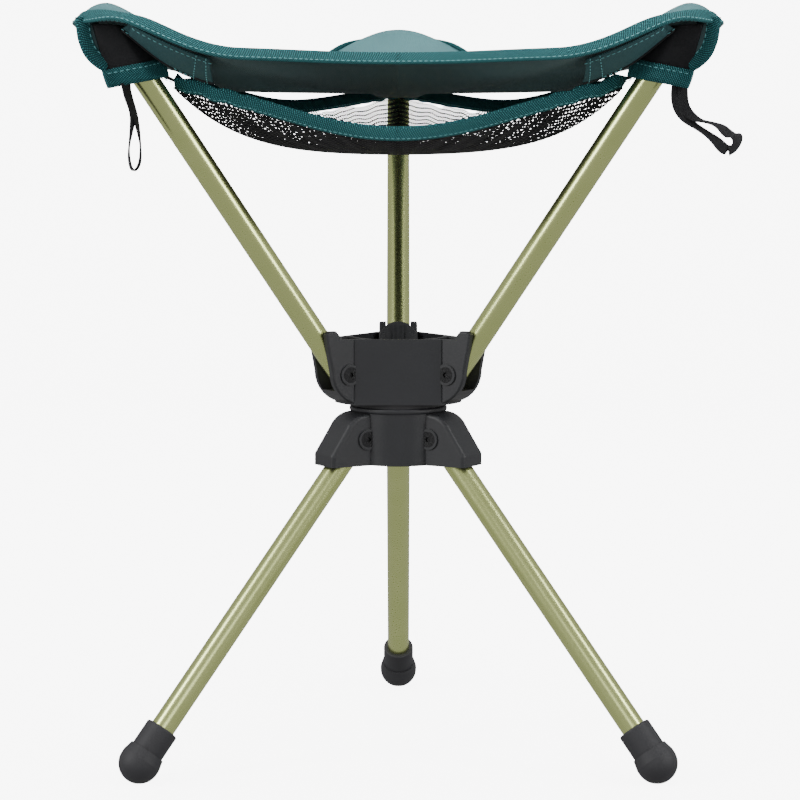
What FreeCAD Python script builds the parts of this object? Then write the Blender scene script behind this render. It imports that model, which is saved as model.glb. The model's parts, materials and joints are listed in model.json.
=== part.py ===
"""Three leg folding stool with a swivel.

Three struts rise from an upper hub to the corners of a fabric sling, three legs fall from a lower hub to rubber
feet, and the two hubs turn on each other about a central bolt. A mesh pouch hangs under the sling.

Frame: millimetres, +Z up, the front of the stool towards -Y. The origin is the point of the floor on the
swivel axis.
"""
import FreeCAD, Part

import math
import os

from FreeCAD import Rotation, Vector

# ---------------------------------------------------------------- driving dimensions
SIDES = {"front_left": 210.0, "front_right": 330.0, "rear": 90.0}   # azimuth of each strut and leg, degrees

tube_od = 14.5
tube_wall = 1.0

leg_tilt = 38.7            # from vertical, degrees, when the stool stands open
leg_reach = 234.0          # from the leg's pivot to the centre of its foot's dome
leg_pivot_r = 28.0         # from the swivel axis
strut_tilt = 35.9
strut_reach = 238.0        # from the strut's pivot to the tube's top end
strut_pivot_r = 40.0
tube_tail = 6.0            # how far a tube runs past its pivot

pin_d = 5.0                # pivot barrels
pin_play = 0.05            # radial play of a tube on its barrel
pin_head_d = 9.6
pin_head_t = 1.6
socket_af = 3.0            # hexagon socket across flats
socket_depth = 1.1
screw_d = 3.2              # screw inside the barrel
screw_length = 13.0

side_play = 0.5            # between a tube and the cheek beside it
stop_play = 0.35           # between a tube and the stop that it opens to
cheek_t = 4.25             # cheeks beside each tube
ear_round = 1.2            # rounding of the ears' outer edges
boss_d = 12.6              # raised ring round each pivot head
boss_rise = 1.0

hub_wall = 3.0
lower_hub_r = 29.8         # rim at the waist
rim_t = 3.4
waist_r = 28.6             # under the rim
lower_hub_up = 18.6        # top of the lower hub above the leg pivots
lower_hub_down = 16.0      # bottom of the lower hub below the leg pivots
hood_r = 52.5              # outer end of the hoods over the legs
hood_roof = 2.0            # least wall over a leg
hollow_up = 4.0            # top of the three hollows under the waist, above the leg pivots

panel_r = 29.6             # outer faces of the three flat panels
panel_corner_r = 39.2      # rounding of the panels' corners, from the axis
upper_hub_down = 18.4      # bottom of the upper hub below the strut pivots
panel_up = 21.2            # top of the panels above the strut pivots
ear_up = 26.4              # top of the ears above the strut pivots
crown_up = 28.0            # top of the round web behind the rear strut
ear_r = 56.0               # outer end of the ears
ear_belly_r = 52.0         # outer end of the ears at the pivots
well_floor = 5.0           # thickness of the upper hub's floor
web_t = 2.6                # web behind each strut

bearing_t = 2.4            # swivel bearing ring between the hubs
bearing_play = 0.1
bearing_r = 28.2
bushing_wall = 1.6
bushing_flange = 1.4
bolt_d = 10.0
bolt_play = 0.05
bolt_head_af = 15.0
bolt_head_t = 6.0
washer_r = 11.0
washer_t = 1.6
nut_af = 15.0
nut_t = 8.0

foot_dome_r = 12.3
foot_flat_r = 4.4          # worn-flat contact patch
foot_sleeve_r = 10.0
foot_sleeve_length = 24.0  # from the dome's centre up the leg
foot_collar_r = 10.9
foot_floor = 5.0           # rubber under the tube's end
tip_cap_t = 3.0            # thickness of the strut's end cap over the tube
tip_cap_plug = 12.0
plug_length = 22.0         # nylon plug inside each tube's pivot end
fit_gap = 0.1              # between a plug and its tube

sling_t = 2.4
sling_centre_z = 402.0     # top of the sling at the swivel axis
sling_mid_z = 418.5        # top of the sling at the middle of each side
sling_tip_z = 449.5        # top of the sling over the strut tips
sling_tip_r = 191.0        # from the axis to the crest over each strut tip
sling_mid_r = 84.0         # from the axis to the crest at the middle of each side
corner_radius = 58.0       # rounding of the sling's corners in plan
rise_length = 82.0         # plan distance from a corner over which the crest comes down
flap_length = 13.0         # cloth past the crest at each strut tip
flap_half_w = 50.0         # plan distance from a corner within which the cloth turns down
flap_turn = 62.0           # how far the flap turns down, degrees
sling_level_share = 0.6    # share of the way to a corner over which the slack cloth stays level
lip_length = 4.0           # cloth past the crest along the sides
lip_turn = -8.0

binding_w = 8.0
binding_t = 3.0
seam_gap = 0.1             # between sewn pieces
tape_gap = 0.8             # between the sling's edge and its binding

pouch_t = 1.6
pouch_bottom_z = 364.5
pouch_corner_z = 402.5
pouch_corner_r = 147.0
pouch_corner_radius = 22.0
pouch_mid_r = 90.0
pouch_front_z = 374.0      # slack front edge
pouch_back_z = 388.0       # the two tighter edges
pouch_binding_w = 9.0
pouch_binding_t = 2.6

pocket_play = 0.25         # between a pocket and the tube in it
pocket_wall = 1.2
pocket_end = 3.0           # from the tip cap to the pocket's top wall
strap_w = 10.6             # webbing across the pocket's mouth
strap_swell = 1.0          # how far the webbing stands out past the pocket
strap_reach_out = 22.7     # mouth of the pocket outside the strut's axis, in the radial plane
strap_reach_in = 11.8      # and inside it
strap_slope = 11.8         # the mouth's fall towards its outer end, degrees
mouth_z = 406.6            # lower edge of the webbing on the strut's axis
gusset_drop = 15.0
gusset_t = 1.6
gusset_start = 40.0        # along the sling's edge from the corner
gusset_end = 88.0

loop_w = 7.0
loop_t = 1.3
loop_drop = 45.0
loop_spread = 9.0          # distance between the two runs of a pull loop

# ---------------------------------------------------------------- derived places
tube_r = tube_od / 2
slot_half = tube_r + side_play
cheek_out = slot_half + cheek_t
foot_dome_z = math.sqrt(foot_dome_r ** 2 - foot_flat_r ** 2)
leg_pivot_z = foot_dome_z + leg_reach * math.cos(math.radians(leg_tilt))
lower_top_z = leg_pivot_z + lower_hub_up
lower_bottom_z = leg_pivot_z - lower_hub_down
upper_bottom_z = lower_top_z + bearing_t + bearing_play
strut_pivot_z = upper_bottom_z + upper_hub_down
X_AXIS, Y_AXIS, Z_AXIS = Vector(1, 0, 0), Vector(0, 1, 0), Vector(0, 0, 1)


# ---------------------------------------------------------------- small helpers
def placed(shape, azimuth):
    """A copy of a shape drawn on the +X side, turned to an azimuth."""
    turned = shape.copy()
    turned.rotate(Vector(0, 0, 0), Z_AXIS, azimuth)
    return turned


def fused(shapes):
    return shapes[0].fuse(shapes[1:]).removeSplitter()


def extruded_rz(points, half_width):
    """A closed outline in the radial plane, given as (radius, height), made into a plate across that plane."""
    corners = [Vector(r, -half_width, z) for r, z in points]
    face = Part.Face(Part.makePolygon(corners + corners[:1]))
    return face.extrude(Vector(0, 2 * half_width, 0))


def cross_cylinder(radius, x, z, y_from, y_to):
    return Part.makeCylinder(radius, y_to - y_from, Vector(x, y_from, z), Y_AXIS)


def hexagon_prism(across_flats, base, direction, height):
    """A hexagonal prism, for sockets, bolt heads and nuts."""
    radius = across_flats / math.sqrt(3)
    corners = [Vector(radius * math.cos(a), radius * math.sin(a), 0) for a in (math.radians(60 * k) for k in range(7))]
    prism = Part.Face(Part.makePolygon(corners)).extrude(Vector(0, 0, height))
    prism.Placement = FreeCAD.Placement(base, Rotation(Z_AXIS, direction))
    return prism


def arc_points(centre, radius, start, end, steps):
    """Points of a circular arc in the radial plane, angles in degrees."""
    turn = [math.radians(start + (end - start) * k / steps) for k in range(steps + 1)]
    return [(centre[0] + radius * math.cos(a), centre[1] + radius * math.sin(a)) for a in turn]


def grid_solid(rows, wrap_rows=False):
    """A closed solid skinned over rows of points. Each row is a closed loop; the end rows are capped by fans."""
    width = len(rows[0])
    points = [p for row in rows for p in row]
    facets = []
    for i in range(len(rows) if wrap_rows else len(rows) - 1):
        below, above = i * width, (i + 1) % len(rows) * width
        for j in range(width):
            k = (j + 1) % width
            facets += [(below + j, below + k, above + k), (below + j, above + k, above + j)]
    if not wrap_rows:
        last = (len(rows) - 1) * width
        for j in range(1, width - 1):
            facets += [(0, j + 1, j), (last, last + j, last + j + 1)]
    shell = Part.Shape()
    shell.makeShapeFromMesh((points, facets), 0.001)
    solid = Part.makeSolid(shell)
    if solid.Volume < 0:
        solid.reverse()
    return solid


# ---------------------------------------------------------------- tubes and their ends
def along_tube(shape, pivot_r, pivot_z, tilt):
    """Moves a shape drawn along +Z from its pivot at the origin to its place in the radial plane."""
    moved = shape.copy()
    moved.rotate(Vector(0, 0, 0), Y_AXIS, tilt)
    moved.translate(Vector(pivot_r, 0, pivot_z))
    return moved


def tube(reach):
    outer = Part.makeCylinder(tube_r, reach + tube_tail, Vector(0, 0, -tube_tail))
    inner = Part.makeCylinder(tube_r - tube_wall, reach + tube_tail, Vector(0, 0, -tube_tail))
    pin_hole = cross_cylinder(pin_d / 2 + pin_play, 0, 0, -tube_od, tube_od)
    return outer.cut([inner, pin_hole])


def pivot_plug():
    """Nylon plug inside a tube's pivot end, bored for the barrel."""
    radius = tube_r - tube_wall - fit_gap
    plug = Part.makeCylinder(radius, plug_length, Vector(0, 0, -tube_tail))
    relief = Part.makeCylinder(radius - 2.4, plug_length, Vector(0, 0, 2 * pin_d))
    return plug.cut([relief, cross_cylinder(pin_d / 2 + pin_play, 0, 0, -tube_od, tube_od)])


def tip_cap():
    """Moulded plug in a strut's top end, with a domed head the width of the tube."""
    stem = Part.makeCylinder(tube_r - tube_wall - fit_gap, tip_cap_plug, Vector(0, 0, strut_reach - tip_cap_plug))
    head = Part.makeCylinder(tube_r, tip_cap_t, Vector(0, 0, strut_reach))
    top_edge = [e for e in head.Edges if e.BoundBox.ZMin > strut_reach + tip_cap_t / 2]
    return stem.fuse(head.makeFillet(tip_cap_t * 0.8, top_edge))


def foot(tilt):
    """Rubber foot in its leg's own frame: sleeve, collar and dome, cut flat where it stands on the floor."""
    sleeve = Part.makeCylinder(foot_sleeve_r, foot_sleeve_length, Vector(0, 0, -foot_sleeve_length))
    rim = [e for e in sleeve.Edges if e.BoundBox.ZMax < 0.5 - foot_sleeve_length]
    sleeve = sleeve.makeFillet(1.2, rim)
    collar = Part.makeCone(foot_collar_r, foot_dome_r, 6.0, Vector(0, 0, -8.0))
    neck = Part.makeCylinder(foot_dome_r, 2.0, Vector(0, 0, -2.0))
    body = fused([sleeve, collar, neck, Part.makeSphere(foot_dome_r)])
    bore = Part.makeCylinder(tube_r + fit_gap / 2, foot_sleeve_length, Vector(0, 0, foot_floor - foot_dome_r - foot_sleeve_length))
    floor = Part.makeBox(60, 60, 30, Vector(-30, -30, -30 - foot_dome_z))
    floor.rotate(Vector(0, 0, 0), Y_AXIS, -tilt)
    return body.cut([bore, floor])


# ---------------------------------------------------------------- pivots
def pivot_barrel(pivot_r, pivot_z):
    """Barrel with a round head on its front side, threaded for the screw from the other side."""
    tail = cheek_out + boss_rise - pin_head_t
    shank = cross_cylinder(pin_d / 2, pivot_r, pivot_z, -cheek_out - boss_rise + pin_head_t, tail)
    head = cross_cylinder(pin_head_d / 2, pivot_r, pivot_z, -cheek_out - boss_rise, -cheek_out - boss_rise + pin_head_t)
    thread = cross_cylinder(screw_d / 2, pivot_r, pivot_z, tail - screw_length, tail)
    socket = hexagon_prism(socket_af, Vector(pivot_r, -cheek_out - boss_rise, pivot_z), Y_AXIS, socket_depth)
    return shank.fuse(head).cut([thread, socket])


def pivot_screw(pivot_r, pivot_z):
    """Screw into the barrel, with a matching head."""
    outer = cheek_out + boss_rise
    shank = cross_cylinder(screw_d / 2, pivot_r, pivot_z, outer - pin_head_t - screw_length, outer - pin_head_t)
    head = cross_cylinder(pin_head_d / 2, pivot_r, pivot_z, outer - pin_head_t, outer)
    socket = hexagon_prism(socket_af, Vector(pivot_r, outer, pivot_z), -Y_AXIS, socket_depth)
    return shank.fuse(head).cut(socket)


def pivot_bosses(pivot_r, pivot_z):
    """The raised rings round both heads of one pivot."""
    return cross_cylinder(boss_d / 2, pivot_r, pivot_z, -cheek_out - boss_rise, cheek_out + boss_rise)


def pivot_cuts(pivot_r, pivot_z):
    """Barrel bore and head seats through one arm."""
    bore = cross_cylinder(pin_d / 2, pivot_r, pivot_z, -cheek_out - boss_rise, cheek_out + boss_rise)
    seat_depth = boss_rise - pin_head_t
    front = cross_cylinder(pin_head_d / 2, pivot_r, pivot_z, -cheek_out - boss_rise, -cheek_out - seat_depth)
    back = cross_cylinder(pin_head_d / 2, pivot_r, pivot_z, cheek_out + seat_depth, cheek_out + boss_rise)
    return [bore, front, back]


# ---------------------------------------------------------------- lower hub
def lower_slot_outline():
    """Room for a leg between hanging straight down and its open stop, round the leg's pivot."""
    tilt = math.radians(leg_tilt)
    clear = tube_r + stop_play
    start = (leg_pivot_r + clear * math.cos(tilt), leg_pivot_z + clear * math.sin(tilt))
    roof_z = leg_pivot_z + math.hypot(tube_r, tube_tail) + stop_play
    bottom = lower_bottom_z - 5
    inner_r = leg_pivot_r - math.hypot(tube_r, tube_tail) - stop_play
    lift = (roof_z - start[1]) * math.tan(tilt)
    out = (start[1] - bottom) * math.tan(tilt)
    return [(inner_r, bottom), (inner_r, roof_z), (start[0] - lift, roof_z), (start[0] + out, bottom)]


def hood():
    """Cover over one leg's top: a rounded shoulder that follows the open leg down to its rounded end."""
    tilt = math.radians(leg_tilt)
    clear = tube_r + stop_play + hood_roof
    edge_z = lower_bottom_z + 7.0
    shoulder = arc_points((leg_pivot_r, leg_pivot_z), clear + 6.0, 84, 90 - leg_tilt - 26, 5)
    roof_r = leg_pivot_r + clear / math.cos(tilt) + (leg_pivot_z - edge_z) * math.tan(tilt)
    outline = [(10, lower_bottom_z), (10, leg_pivot_z + clear + 5.5), *shoulder]
    edge_r = max(hood_r, roof_r)
    outline += [(edge_r, edge_z), (edge_r, lower_bottom_z)]
    block = extruded_rz(outline, cheek_out)
    outside = [e for e in block.Edges if e.BoundBox.XMin > leg_pivot_r and e.BoundBox.ZMax > lower_bottom_z + 1
               and (e.BoundBox.ZMax - e.BoundBox.ZMin > 0.5 or e.BoundBox.XMin > edge_r - 1)]
    return block.makeFillet(hub_wall * 0.9, outside)


def lower_hub():
    arms = [placed(hood(), a) for a in SIDES.values()]
    waist = Part.makeCylinder(waist_r, lower_top_z - lower_bottom_z, Vector(0, 0, lower_bottom_z))
    rim = Part.makeCylinder(lower_hub_r, rim_t, Vector(0, 0, lower_top_z - rim_t))
    rim = rim.makeFillet(rim_t * 0.4, [e for e in rim.Edges if e.BoundBox.DiagonalLength > lower_hub_r * 2.5])
    bosses = [placed(pivot_bosses(leg_pivot_r, leg_pivot_z), a) for a in SIDES.values()]
    outer = fused([waist, rim, *arms, *bosses])

    core_r = bolt_d / 2 + bushing_wall + 4.5
    depth = leg_pivot_z + hollow_up - lower_bottom_z
    hollow = Part.makeCylinder(waist_r - hub_wall, depth, Vector(0, 0, lower_bottom_z))
    core = Part.makeCylinder(core_r, depth, Vector(0, 0, lower_bottom_z))
    block = [(0, lower_bottom_z - 1), (0, leg_pivot_z + 40), (60, leg_pivot_z + 40), (60, lower_bottom_z - 1)]
    hollow = hollow.cut([core] + [placed(extruded_rz(block, cheek_out), a) for a in SIDES.values()])

    slot = extruded_rz(lower_slot_outline(), slot_half)
    swing = Part.makeCylinder(math.hypot(tube_r, tube_tail) + stop_play, 2 * slot_half,
                              Vector(leg_pivot_r, slot_half, leg_pivot_z), -Y_AXIS)
    slot = slot.fuse(swing)
    bore = Part.makeCylinder(bolt_d / 2 + bolt_play + bushing_wall, 80, Vector(0, 0, lower_bottom_z - 1))
    flange_seat = Part.makeCylinder(washer_r, bushing_flange, Vector(0, 0, lower_top_z - bushing_flange))
    nut_room = Part.makeCylinder(washer_r + 0.5, nut_room_depth() + 1, Vector(0, 0, lower_bottom_z - 1))
    cuts = [hollow, bore, flange_seat, nut_room]
    for azimuth in SIDES.values():
        cuts.append(placed(slot, azimuth))
        cuts += [placed(c, azimuth) for c in pivot_cuts(leg_pivot_r, leg_pivot_z)]
    return outer.cut(cuts)


def nut_room_depth():
    return nut_t + washer_t + 2.0


# ---------------------------------------------------------------- upper hub
def upper_arm():
    """One pair of ears with the block between them, before its slot is cut."""
    top, bottom = strut_pivot_z + ear_up, upper_bottom_z
    belly_z = strut_pivot_z + 2.0
    curve_r = belly_z - bottom
    outline = [(12, bottom), *arc_points((ear_belly_r - curve_r, belly_z), curve_r, -90, 0, 8)]
    outline += [(ear_r - 1.0, top - 9.0), (ear_r, top - 2.0), (ear_r - 2.0, top), (ear_r - 7.0, top)]
    outline += [(ear_r - 11.5, strut_pivot_z + panel_up), (12, strut_pivot_z + panel_up)]
    block = extruded_rz(outline, cheek_out)
    rims = [e for e in block.Edges if e.BoundBox.XMin > panel_corner_r and e.BoundBox.YMax - e.BoundBox.YMin < 0.1]
    return block.makeFillet(ear_round, rims)


def upper_web(tall):
    """Web behind one strut; the tall one has a round top and two ribs on its inner side."""
    outer_r = web_outer_r()
    base = Vector(outer_r - web_t, -cheek_out, upper_bottom_z)
    if not tall:
        return Part.makeBox(web_t, 2 * cheek_out, strut_pivot_z + panel_up - upper_bottom_z, base)
    crown_z = strut_pivot_z + crown_up - cheek_out
    height = crown_z - upper_bottom_z
    post = Part.makeBox(web_t, 2 * cheek_out, height, base)
    crown = Part.makeCylinder(cheek_out, web_t, Vector(outer_r - web_t, 0, crown_z), X_AXIS)
    ribs = [Part.makeBox(1.0, 1.0, height + cheek_out - 2.0, Vector(outer_r - web_t - 1.0, y - 0.5, upper_bottom_z))
            for y in (-3.0, 3.0)]
    return fused([post, crown, *ribs])


def web_outer_r():
    """Radius at which a web stops the tail of the open strut."""
    tilt = math.radians(strut_tilt)
    return strut_pivot_r - tube_tail * math.sin(tilt) - tube_r * math.cos(tilt) - stop_play


def upper_slot_outline():
    """Room for a strut between its open stop and standing straight up."""
    swing = math.hypot(tube_r, tube_tail) + stop_play
    top = strut_pivot_z + ear_up + 10
    return [(web_outer_r(), strut_pivot_z - swing), (web_outer_r(), top), (90, top), (90, strut_pivot_z - 2),
            (strut_pivot_r + swing, strut_pivot_z - swing)]


def triangle_prism(radius, z_from, z_to):
    """Three flat faces at one distance from the axis, between the arms."""
    corners = [Rotation(Z_AXIS, a).multVec(Vector(2 * radius, 0, z_from)) for a in SIDES.values()]
    face = Part.Face(Part.makePolygon(corners + corners[:1]))
    prism = face.extrude(Vector(0, 0, z_to - z_from))
    rounding = panel_corner_r - panel_r + radius
    return prism.common(Part.makeCylinder(rounding, z_to - z_from, Vector(0, 0, z_from)))


def upper_hub():
    panel_top_z = strut_pivot_z + panel_up
    arms = [placed(upper_arm(), a) for a in SIDES.values()]
    webs = [placed(upper_web(side == "rear"), a) for side, a in SIDES.items()]
    bosses = [placed(pivot_bosses(strut_pivot_r, strut_pivot_z), a) for a in SIDES.values()]
    outer = fused([triangle_prism(panel_r, upper_bottom_z, panel_top_z), *arms, *bosses])

    floor_z = upper_bottom_z + well_floor
    arm_room = [(0, 0), (0, 400), (80, 400), (80, 0)]
    well = triangle_prism(panel_r - hub_wall, floor_z, panel_top_z + 1)
    side_wells = well.cut([placed(extruded_rz(arm_room, cheek_out), a) for a in SIDES.values()])
    middle = well.common(Part.makeCylinder(web_outer_r() - web_t, 100, Vector(0, 0, floor_z)))
    slot = extruded_rz(upper_slot_outline(), slot_half)
    body = outer.cut([middle, side_wells, *[placed(slot, a) for a in SIDES.values()]])
    body = fused([body, *webs])
    cuts = [Part.makeCylinder(bolt_d / 2, 40, Vector(0, 0, upper_bottom_z - 5))]
    for azimuth in SIDES.values():
        cuts += [placed(c, azimuth) for c in pivot_cuts(strut_pivot_r, strut_pivot_z)]
    return body.cut(cuts)


# ---------------------------------------------------------------- swivel
def ring(outer_r, inner_r, z, height):
    return Part.makeCylinder(outer_r, height, Vector(0, 0, z)).cut(Part.makeCylinder(inner_r, height, Vector(0, 0, z)))


def swivel_parts():
    """The bolt and what is on it, from the top washer down to the lock nut."""
    floor_top = upper_bottom_z + well_floor
    nut_seat_z = lower_bottom_z + nut_room_depth()
    washer_z = nut_seat_z - washer_t - bearing_play
    nut_z = washer_z - nut_t
    bushing_r = bolt_d / 2 + bolt_play
    flange = ring(washer_r - 0.1, bushing_r, lower_top_z - bushing_flange, bushing_flange)
    sleeve = ring(bushing_r + bushing_wall, bushing_r, nut_seat_z, lower_top_z - nut_seat_z)
    head_z = floor_top + washer_t
    shank = Part.makeCylinder(bolt_d / 2, head_z - nut_z + 1.5, Vector(0, 0, nut_z - 1.5))
    head = hexagon_prism(bolt_head_af, Vector(0, 0, head_z), Z_AXIS, bolt_head_t)
    nut = hexagon_prism(nut_af, Vector(0, 0, nut_z), Z_AXIS, nut_t)
    nut = nut.cut(Part.makeCylinder(bolt_d / 2, nut_t, Vector(0, 0, nut_z)))
    return {
        "swivel_bolt": shank.fuse(head),
        "swivel_top_washer": ring(washer_r, bolt_d / 2, floor_top, washer_t),
        "swivel_bearing_ring": ring(bearing_r, washer_r + 1.0, lower_top_z, bearing_t),
        "swivel_bushing": flange.fuse(sleeve).removeSplitter(),
        "swivel_bottom_washer": ring(washer_r, bolt_d / 2, washer_z, washer_t),
        "swivel_lock_nut": nut,
    }


# ---------------------------------------------------------------- sling
def edge_path(tip_r, mid_r, radius, steps_arc, steps_side):
    """Plan outline of a three-cornered cloth: each corner is an arc and each side bows in towards the axis."""
    centre_r = tip_r - radius
    straight_r = centre_r / 2 + radius
    half_side = centre_r * math.sin(math.radians(60))
    bow = straight_r - mid_r
    points = []
    for side_azimuth in (270.0, 30.0, 150.0):
        turn = Rotation(Z_AXIS, side_azimuth - 270.0)
        for k in range(-steps_side, steps_side + 1):
            y = -straight_r + bow * math.cos(math.pi / 2 * k / steps_side) ** 2
            points.append(turn.multVec(Vector(half_side * k / steps_side, y, 0)))
        centre = Vector(half_side, -centre_r / 2, 0)
        for k in range(1, steps_arc):
            angle = math.radians(-90 + 120 * k / steps_arc)
            points.append(turn.multVec(centre + Vector(radius * math.cos(angle), radius * math.sin(angle), 0)))
    return points


def corner_distance(point):
    """Plan distance from a point of the sling's crest to the nearest corner."""
    tips = [Rotation(Z_AXIS, a).multVec(Vector(sling_tip_r, 0, 0)) for a in SIDES.values()]
    return min((Vector(point.x, point.y, 0) - tip).Length for tip in tips)


def eased(distance, length):
    """1 at no distance, falling smoothly to 0 at the given length."""
    return (1 + math.cos(math.pi * min(1.0, distance / length))) / 2


def crest_z(point):
    """Height of the sling's crest: level along the sides, rising smoothly to each corner."""
    return sling_mid_z + (sling_tip_z - sling_mid_z) * eased(corner_distance(point), rise_length)


def sling_column(point, outward, shares, past_crest):
    """Top of the sling from near the axis, up to its crest and on down over its lip or corner flap."""
    top_z = crest_z(point)
    lift = (top_z - sling_mid_z) / (sling_tip_z - sling_mid_z)
    level = sling_level_share * lift
    column = []
    for share in shares:
        rise = max(0.0, (share - level) / (1 - level)) ** (2.2 - 1.05 * lift)
        column.append(Vector(point.x * share, point.y * share, sling_centre_z + (top_z - sling_centre_z) * rise))
    turned = eased(corner_distance(point), flap_half_w)
    step = (lip_length + (flap_length - lip_length) * turned) / past_crest
    for k in range(past_crest):
        angle = math.radians((lip_turn + (flap_turn - lip_turn) * turned) * (k + 1) / past_crest)
        column.append(column[-1] + outward * step * math.cos(angle) - Vector(0, 0, step * math.sin(angle)))
    return column


def outward_normals(path):
    """Level unit vectors square to a closed plan path, pointing away from the axis."""
    turned = []
    for k in range(len(path)):
        along = path[(k + 1) % len(path)] - path[k - 1]
        turned.append(Vector(along.y, -along.x, 0).normalize())
    return turned


def inward_of(point):
    """Towards the swivel axis, level."""
    return Vector(-point.x, -point.y, 0).normalize()


def column_normals(column, outward):
    """Unit vectors square to a column, on its lower side."""
    normals = []
    for k in range(len(column)):
        along = column[min(k + 1, len(column) - 1)] - column[max(k - 1, 0)]
        normals.append((outward * along.z - Z_AXIS * along.dot(outward)).normalize())
    return normals


def sling_parts():
    path = edge_path(sling_tip_r, sling_mid_r, corner_radius, 8, 5)
    outwards = outward_normals(path)
    columns = [sling_column(p, n, (0.02, 0.25, 0.5, 0.7, 0.85, 1.0), 4) for p, n in zip(path, outwards)]
    lower = [[q + n * sling_t for q, n in zip(c, column_normals(c, o))] for c, o in zip(columns, outwards)]
    rows = list(map(list, zip(*columns))) + list(map(list, zip(*lower)))[::-1]
    tape = []
    for column, outward in zip(columns, outwards):
        along = (column[-1] - column[-2]).normalize()
        below = column_normals(column, outward)[-1]
        start = column[-1] + along * tape_gap + below * (sling_t - binding_t) / 2
        tape.append([start, start + along * binding_w, start + along * binding_w + below * binding_t,
                     start + below * binding_t])
    return {"seat_sling": grid_solid(rows), "seat_binding": grid_solid(tape, wrap_rows=True)}


def gusset(azimuth):
    """The two reinforcing tapes that hang under the sling's edge, one each side of a corner."""
    fine = edge_path(sling_tip_r, sling_mid_r, corner_radius, 24, 20)
    tip = Rotation(Z_AXIS, azimuth).multVec(Vector(sling_tip_r, 0, 0))
    across = Rotation(Z_AXIS, azimuth).multVec(Y_AXIS)
    tapes = []
    for side in (-1, 1):
        near = [p for p in fine if (p - tip).dot(across) * side > 0 and gusset_start < (p - tip).Length < gusset_end]
        near.sort(key=lambda p: (p - tip).Length)
        rows = []
        for p in near:
            step = inward_of(p)
            share = ((p - tip).Length - gusset_start) / (gusset_end - gusset_start)
            drop = gusset_drop * (0.45 + 0.55 * share)
            top = p + step * 5.0 + Vector(0, 0, crest_z(p) - 2 * sling_t - 1.0)
            rows.append([top, top + step * gusset_t, top + step * (gusset_t + 2) - Vector(0, 0, drop),
                         top + step * 2 - Vector(0, 0, drop)])
        tapes.append(grid_solid(rows))
    return Part.makeCompound(tapes)


# ---------------------------------------------------------------- pouch
def pouch_edge_z(point):
    """Height of the pouch's mouth: the front side hangs slack, the other two are tighter."""
    azimuth = math.degrees(math.atan2(point.y, point.x)) % 360
    from_front = abs(azimuth - 270.0)
    mid_z = pouch_front_z if from_front < 60 else pouch_back_z
    tip_distance = min(abs((azimuth - a + 180) % 360 - 180) for a in SIDES.values())
    share = min(1.0, tip_distance / 60.0)
    return pouch_corner_z + (mid_z - pouch_corner_z) * math.sin(math.pi / 2 * share) ** 1.3


def pouch_z(point, share):
    depth = pouch_edge_z(point) - pouch_bottom_z - pouch_t
    return pouch_bottom_z + pouch_t + depth * share ** 3.2


def pouch_parts():
    path = edge_path(pouch_corner_r, pouch_mid_r, pouch_corner_radius, 5, 7)
    top = [[Vector(p.x * s, p.y * s, pouch_z(p, s)) for p in path] for s in (0.02, 0.25, 0.5, 0.7, 0.85, 0.94, 1.0)]
    low = [[q - Vector(0, 0, pouch_t) for q in row] for row in top]
    return {"mesh_pouch": grid_solid(top + low[::-1]), "pouch_binding": strip_upright(path)}


def strip_upright(path):
    """The tape round the pouch's mouth, standing on its mesh."""
    rows = []
    for p in path:
        base = Vector(p.x, p.y, pouch_edge_z(p) + seam_gap)
        step = inward_of(p) * pouch_binding_t
        up = Vector(0, 0, pouch_binding_w)
        rows.append([base, base + step, base + step + up, base + up])
    return grid_solid(rows, wrap_rows=True)


# ---------------------------------------------------------------- corner pockets, hems and pull loops
def strut_point(along, out):
    """A point of the radial plane, (radius, height), from its place in a strut's own frame."""
    tilt = math.radians(strut_tilt)
    return (strut_pivot_r + along * math.sin(tilt) + out * math.cos(tilt),
            strut_pivot_z + along * math.cos(tilt) - out * math.sin(tilt))


def mouth_line(rise):
    """Ends, (radius, height), of a line along the pocket's mouth, at a height above the webbing's lower edge."""
    slope = math.radians(strap_slope)
    middle_r = strut_pivot_r + (mouth_z - strut_pivot_z) * math.tan(math.radians(strut_tilt))
    lift_r, lift_z = rise * math.sin(slope), rise * math.cos(slope)
    inner = (middle_r - strap_reach_in * math.cos(slope) + lift_r, mouth_z + strap_reach_in * math.sin(slope) + lift_z)
    outer = (middle_r + strap_reach_out * math.cos(slope) + lift_r, mouth_z - strap_reach_out * math.sin(slope) + lift_z)
    return inner, outer


def strut_bore(length):
    """The strut's tube and tip, grown by the play that a pocket has round them."""
    bore = Part.makeCylinder(tube_r + pocket_play, length)
    return along_tube(bore, strut_pivot_r, strut_pivot_z, strut_tilt)


def corner_pocket():
    """Flat sheath over the strut's tip, lying in the radial plane and closed at its top."""
    inner, outer = mouth_line(strap_w + seam_gap)
    top = strut_reach + tip_cap_t + pocket_end
    outline = [inner, outer, strut_point(top - 3.0, tube_r + 8.0), strut_point(top, tube_r), strut_point(top, -tube_r),
               strut_point(top - 14.0, -tube_r - 4.5)]
    body = extruded_rz(outline, tube_r + pocket_play + pocket_wall)
    return body.cut(strut_bore(strut_reach + tip_cap_t + pocket_play))


def pocket_strap():
    """Webbing round the pocket's mouth."""
    low, high = mouth_line(0.0), mouth_line(strap_w)
    body = extruded_rz([low[0], low[1], high[1], high[0]], tube_r + pocket_play + pocket_wall + strap_swell)
    return body.cut(strut_bore(strut_reach + tip_cap_t))


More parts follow.
